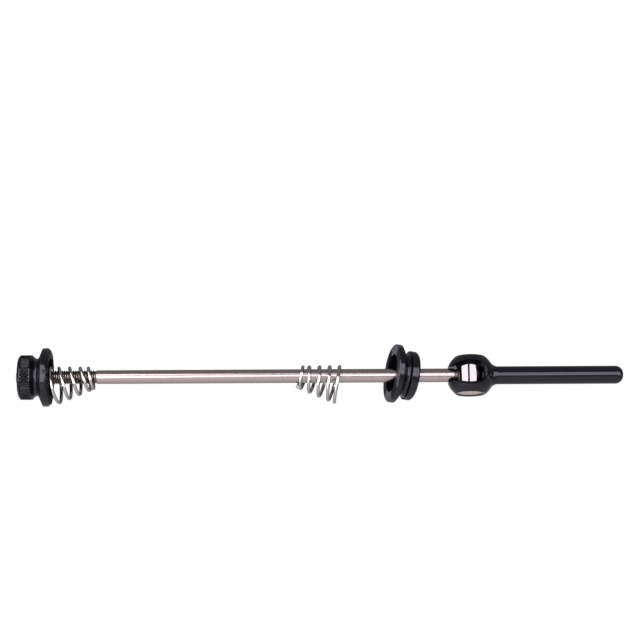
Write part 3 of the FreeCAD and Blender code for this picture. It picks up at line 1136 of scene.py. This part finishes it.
@dataclass
class Studio:
    """Pale floor, white surround, soft boxes and the camera, in metres."""

    floor_drop: float = 0.75
    floor_colour: str = "#b8b8b8"
    floor_shine: float = 0.6
    surround: float = 6.0
    surround_glow: float = 0.84  # comes out just white, so that it does not eat into the part's edges
    stage_roughness: float = 0.9
    floor_glow: float = 0.85  # the world's brightness below the horizon
    horizon_glow: float = 0.07
    overhead_glow: float = 0.27
    world_tone: tuple[float, float, float, float] = (1.0, 0.98, 1.0, 1.0)
    horizon_half: float = 0.04  # half the step at the horizon, as the sine of its elevation
    overhead_from: float = 0.8  # sine of the elevation where overhead begins
    left_box: SoftBox = SoftBox("left_box", (-82, -4), (-31, 41), 2.7)
    right_box: SoftBox = SoftBox("right_box", (-4, 76), (-12, 27), 2.6)
    card_spot: tuple[float, float, float] = (-0.055, -0.917, 0.214)
    card_size: float = 0.24
    card_colour: str = "#050505"
    elevation: float = -13.0
    distance: float = 0.714
    aim_x: float = 0.016
    aim_up: float = 0.020
    lens: float = 112.5  # millimetres, as is sensor
    sensor: float = 36.0
    near: float = 0.01
    roll_degrees: float = 0.3

    def build(self) -> None:
        """Builds the stage, the lights and the camera."""
        self.floor()
        self.backdrop()
        self.world()
        self.left_box.build()
        self.right_box.build()
        self.flag()
        self.camera()

    def plain(self, name: str, code: str, glow: float = 0.0, lit: bool = True) -> bpy.types.Material:
        """Makes a plain matt stage material.

        Args:
            name: material name.
            code: sRGB hex.
            glow: emission strength.
            lit: whether the lights of the studio add to the glow.

        Returns:
            The material.
        """
        material = bpy.data.materials.new(name)
        material.use_nodes = True
        values = {
            "Base Color": linear(code if lit else "#000000"),
            "Specular IOR Level": 0.5 if lit else 0.0,
            "Roughness": self.stage_roughness,
            "Emission Color": linear(code),
            "Emission Strength": glow,
        }
        for socket, value in values.items():
            material.node_tree.nodes["Principled BSDF"].inputs[socket].default_value = value
        return material

    def floor(self) -> None:
        """Lays the floor well below the hanging part."""
        bpy.ops.mesh.primitive_plane_add(size=2 * self.surround, location=(0, 0, -self.floor_drop))
        floor = bpy.context.object
        floor.name = "studio_floor"
        floor.data.materials.append(self.plain("pale_floor", self.floor_colour, self.floor_shine))

    def backdrop(self) -> None:
        """Puts a white surround behind everything, seen by the camera but in no reflection."""
        bpy.ops.mesh.primitive_uv_sphere_add(segments=64, ring_count=32, radius=self.surround)
        dome = bpy.context.object
        dome.name = "studio_surround"
        dome.data.materials.append(self.plain("white_surround", "#ffffff", self.surround_glow, lit=False))
        dome.visible_diffuse = dome.visible_glossy = False
        dome.visible_shadow = dome.visible_transmission = False

    def world(self) -> None:
        """Fills the shadows with a soft grey, bright below the horizon, dark at it and mid grey overhead."""
        world = bpy.data.worlds.new("soft_grey")
        bpy.context.scene.world = world
        world.use_nodes = True
        tree = world.node_tree
        shade = tree.nodes["Background"]
        shade.inputs["Color"].default_value = self.world_tone
        way = add_node(tree, "ShaderNodeTexCoord").outputs["Generated"]
        apart = add_node(tree, "ShaderNodeSeparateXYZ", way)
        height = add_node(tree, "ShaderNodeMapRange", Value=apart.outputs["Z"], From_Min=-1.0)
        fade = add_node(tree, "ShaderNodeFloatCurve", Value=height)
        curve = fade.mapping.curves[0]
        curve.points[0].location = (0.0, self.floor_glow)
        curve.points[1].location = (1.0, self.overhead_glow)
        for sine, glow in (
            (-self.horizon_half, self.floor_glow),
            (self.horizon_half, self.horizon_glow),
            (self.overhead_from, self.overhead_glow),
        ):
            curve.points.new((sine + 1) / 2, glow)
        for point in curve.points:
            point.handle_type = "VECTOR"
        fade.mapping.update()
        tree.links.new(fade.outputs["Value"], shade.inputs["Strength"])

    def flag(self) -> None:
        """Hangs a small black card where the boxes meet, which the polished barrel shows as a dark line."""
        spot = Vector(self.card_spot)
        facing = (-spot).to_track_quat("Z", "Y").to_euler()
        bpy.ops.mesh.primitive_plane_add(size=self.card_size, location=spot, rotation=facing)
        card = bpy.context.object
        card.name = "studio_flag"
        card.data.materials.append(self.plain("black_card", self.card_colour))
        card.visible_camera = card.visible_shadow = card.visible_diffuse = False

    def camera(self) -> None:
        """Sets the camera at the photograph's viewing angle."""
        tilt = math.radians(-self.elevation)
        forward = Vector((0, math.cos(tilt), math.sin(tilt)))
        right = Vector((1, 0, 0))
        up = right.cross(forward)
        turn = math.radians(self.roll_degrees)
        across = right * math.cos(turn) - up * math.sin(turn)
        upright = right * math.sin(turn) + up * math.cos(turn)
        data = bpy.data.cameras.new("camera")
        data.lens = self.lens
        data.sensor_width = self.sensor
        data.clip_start = self.near
        camera = link_object("camera", data)
        spot = right * self.aim_x + up * self.aim_up - forward * self.distance
        facing = Matrix((across, upright, -forward)).transposed().to_4x4()
        camera.matrix_world = Matrix.Translation(spot) @ facing
        bpy.context.scene.camera = camera
        view = bpy.context.scene.view_settings
        view.view_transform = "Standard"
        view.look = "Medium High Contrast"


def main() -> None:
    """Builds the pieces in order."""
    logging.basicConfig(level=logging.INFO, format="%(message)s")
    Rod().build()
    Barrel().build()
    Lever().build()
    Cup().build()
    Nut().build()
    Spring(
        name="nut_spring_coil",
        node="nut_side_spring",
        body="nut_spring",
        x_start=-80.45,
        lean_degrees=9.8,
        large_first=True,
        turns=4.9,
        first=0.85,
        seated=0.15,
    ).build()
    Spring(
        name="lever_spring_coil",
        node="lever_side_spring",
        body="lever_spring",
        x_start=9.3,
        lean_degrees=12.0,
        large_first=False,
        turns=5.0,
        first=0.5,
        seated=-0.5,
    ).build()
    Studio().build()


if __name__ == "__main__":
    main()
